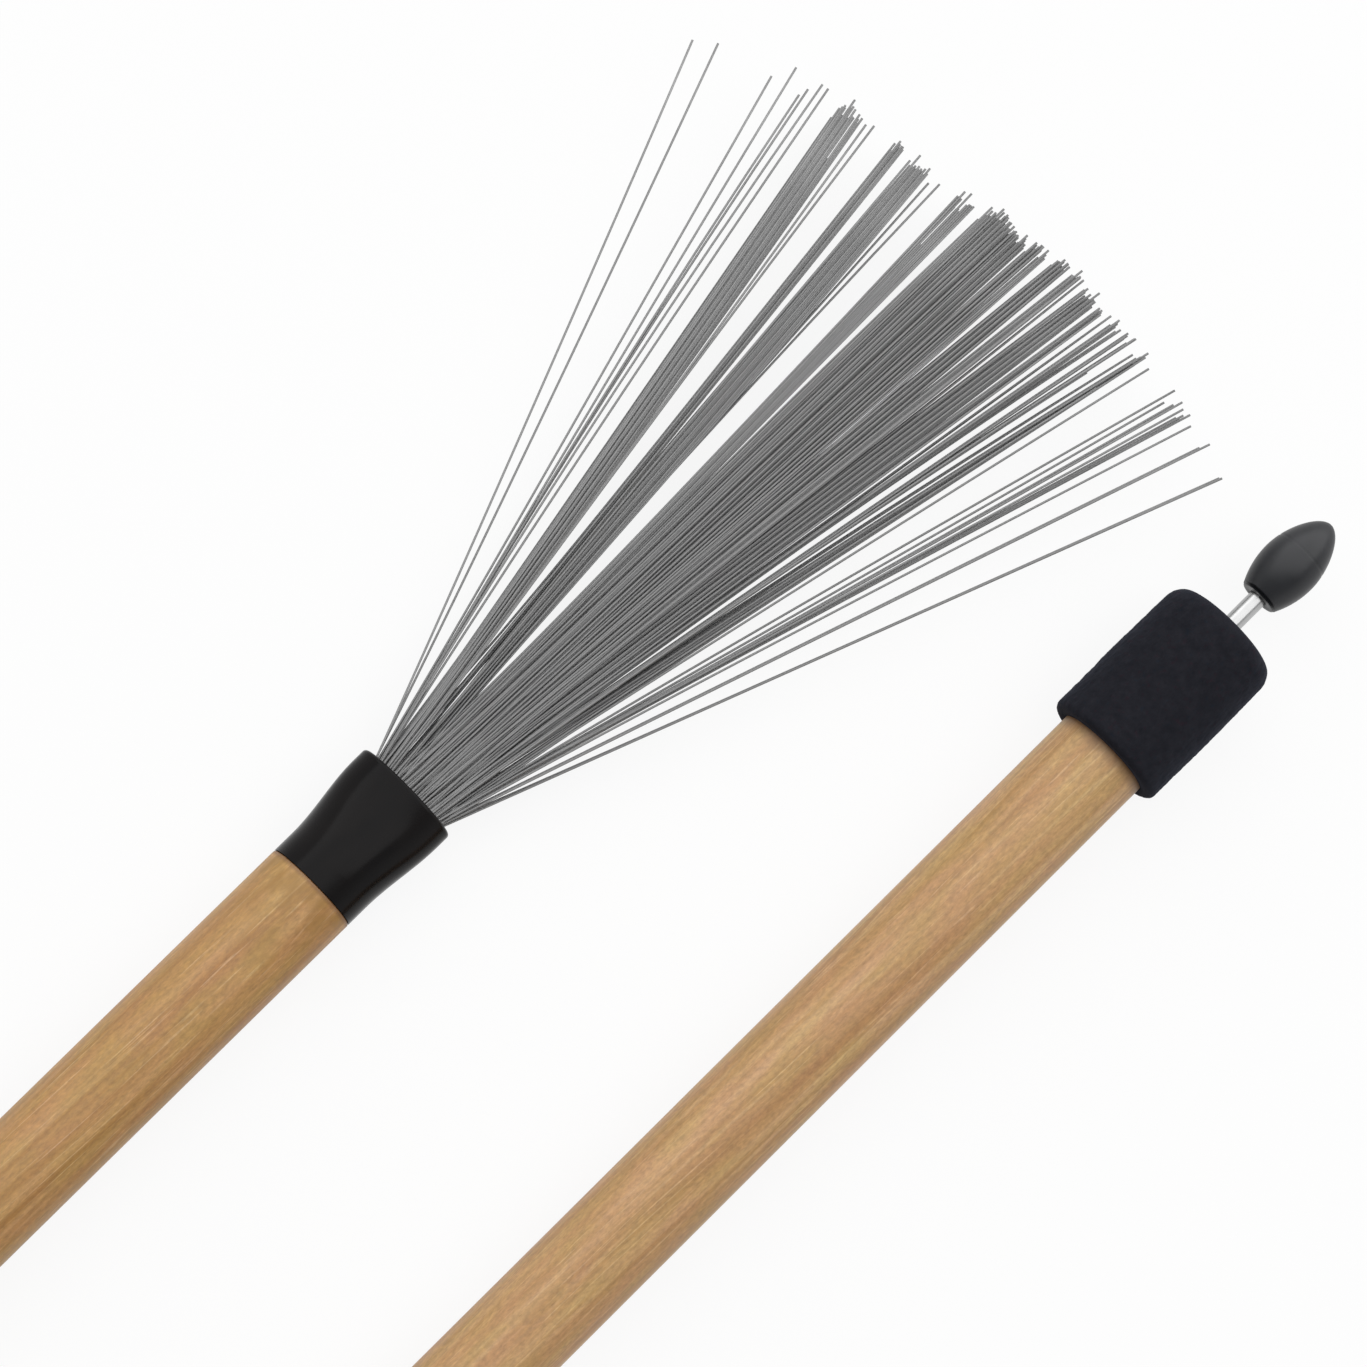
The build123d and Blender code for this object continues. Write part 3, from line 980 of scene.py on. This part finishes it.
for side in SIDES:
    dress("handle", side, hickory(side))
    dress("ferrule", side, ferrule_plastic(side))
    bright = plain_metal("bright_rod", side, level=0.46, roughness=0.24, mark=drawn_mark)
    dress("pull_rod", side, bright)
    zinc = plain_metal("zinc_steel", side, level=0.58, roughness=0.34, mark=turned_mark)
    for node in ("coupler", "stop_collar", "ring_cap"):
        dress(node, side, zinc)
    rubber = plain_polymer("rubber", side, grey(0.016), grey(0.024), 0.6)
    for node in ("drag_ring", "stop_bumper"):
        dress(node, side, rubber)
    dress("guide_collar", side, plain_polymer("nylon", side, grey(0.62), grey(0.72), 0.4))
    dress("rod_bush", side, plain_polymer("bush_plastic", side, grey(0.020), grey(0.028), 0.42))
    seed, mirror = fan_seeds[side]
    make_fan(side, seed, mirror, wire_material)
    make_felt(side, felt_material)
    make_bead(side, bead_plastic(side))

# ---- Floor, world and lamp ----------------------------------------------------------

floor_size = 3.0
floor_drop = 0.0001
floor_level = 0.86
floor_glow = 0.88  # share of plain white in the floor as it is seen
scattered_level = 0.30  # the world's brightness for light that is scattered
overhead_level = 0.40  # and as it is seen, overhead
overhead_band = (0.35, 0.75)  # heights between which the world darkens from white to that
key_place, key_aim = (1.03, 0.78, 1.30), (0.05, 0.47, 0.0)
key_sizes = (4.6, 3.0)
key_watts = 72.0


def make_floor():
    """A white floor that keeps a faint shadow of the object."""
    bpy.ops.mesh.primitive_plane_add(size=floor_size, location=(0, 0, -floor_drop))
    floor = bpy.context.object
    floor.name = "floor"
    finish = Finish("floor")
    tree = finish.tree
    glow = finish.node("ShaderNodeEmission", {"Color": grey(1.0), "Strength": 1.0})
    plain = finish.node("ShaderNodeBsdfDiffuse", {"Color": grey(floor_level)})
    share = finish.math("MULTIPLY", finish.seen_directly(), floor_glow)
    both = finish.node("ShaderNodeMixShader", {0: share, 1: plain.outputs[0], 2: glow.outputs[0]})
    tree.nodes.remove(finish.surface)
    finish.feed(tree.nodes["Material Output"].inputs["Surface"], both.outputs[0])
    floor.data.materials.append(finish.material)


def make_world():
    """White round the horizon and darker overhead when seen, and softer for scattered light."""
    world = bpy.data.worlds.new("studio")
    bpy.context.scene.world = world
    world.use_nodes = True
    nodes = Nodes(world.node_tree)
    direction = nodes.node("ShaderNodeTexCoord").outputs["Generated"]
    seen = nodes.between(nodes.part(direction, "Z"), *overhead_band, 1.0, overhead_level)
    level = nodes.between(nodes.seen_directly(), 0.0, 1.0, scattered_level, seen)
    background = world.node_tree.nodes["Background"]
    nodes.feed(background.inputs["Strength"], level)
    nodes.feed(background.inputs["Color"], grey(1.0))


def make_lamp(name, place, aim, sizes, watts):
    """A soft lamp that the camera doesn't see."""
    data = bpy.data.lights.new(name, "AREA")
    data.shape = "RECTANGLE"
    data.size, data.size_y = sizes
    data.energy = watts
    lamp = bpy.data.objects.new(name, data)
    bpy.context.scene.collection.objects.link(lamp)
    lamp.location = place
    lamp.visible_camera = False
    lamp.rotation_euler = (Vector(aim) - Vector(place)).to_track_quat("-Z", "Y").to_euler()


make_floor()
make_world()
make_lamp("key", key_place, key_aim, key_sizes, key_watts)

bpy.context.scene.view_settings.view_transform = "Standard"
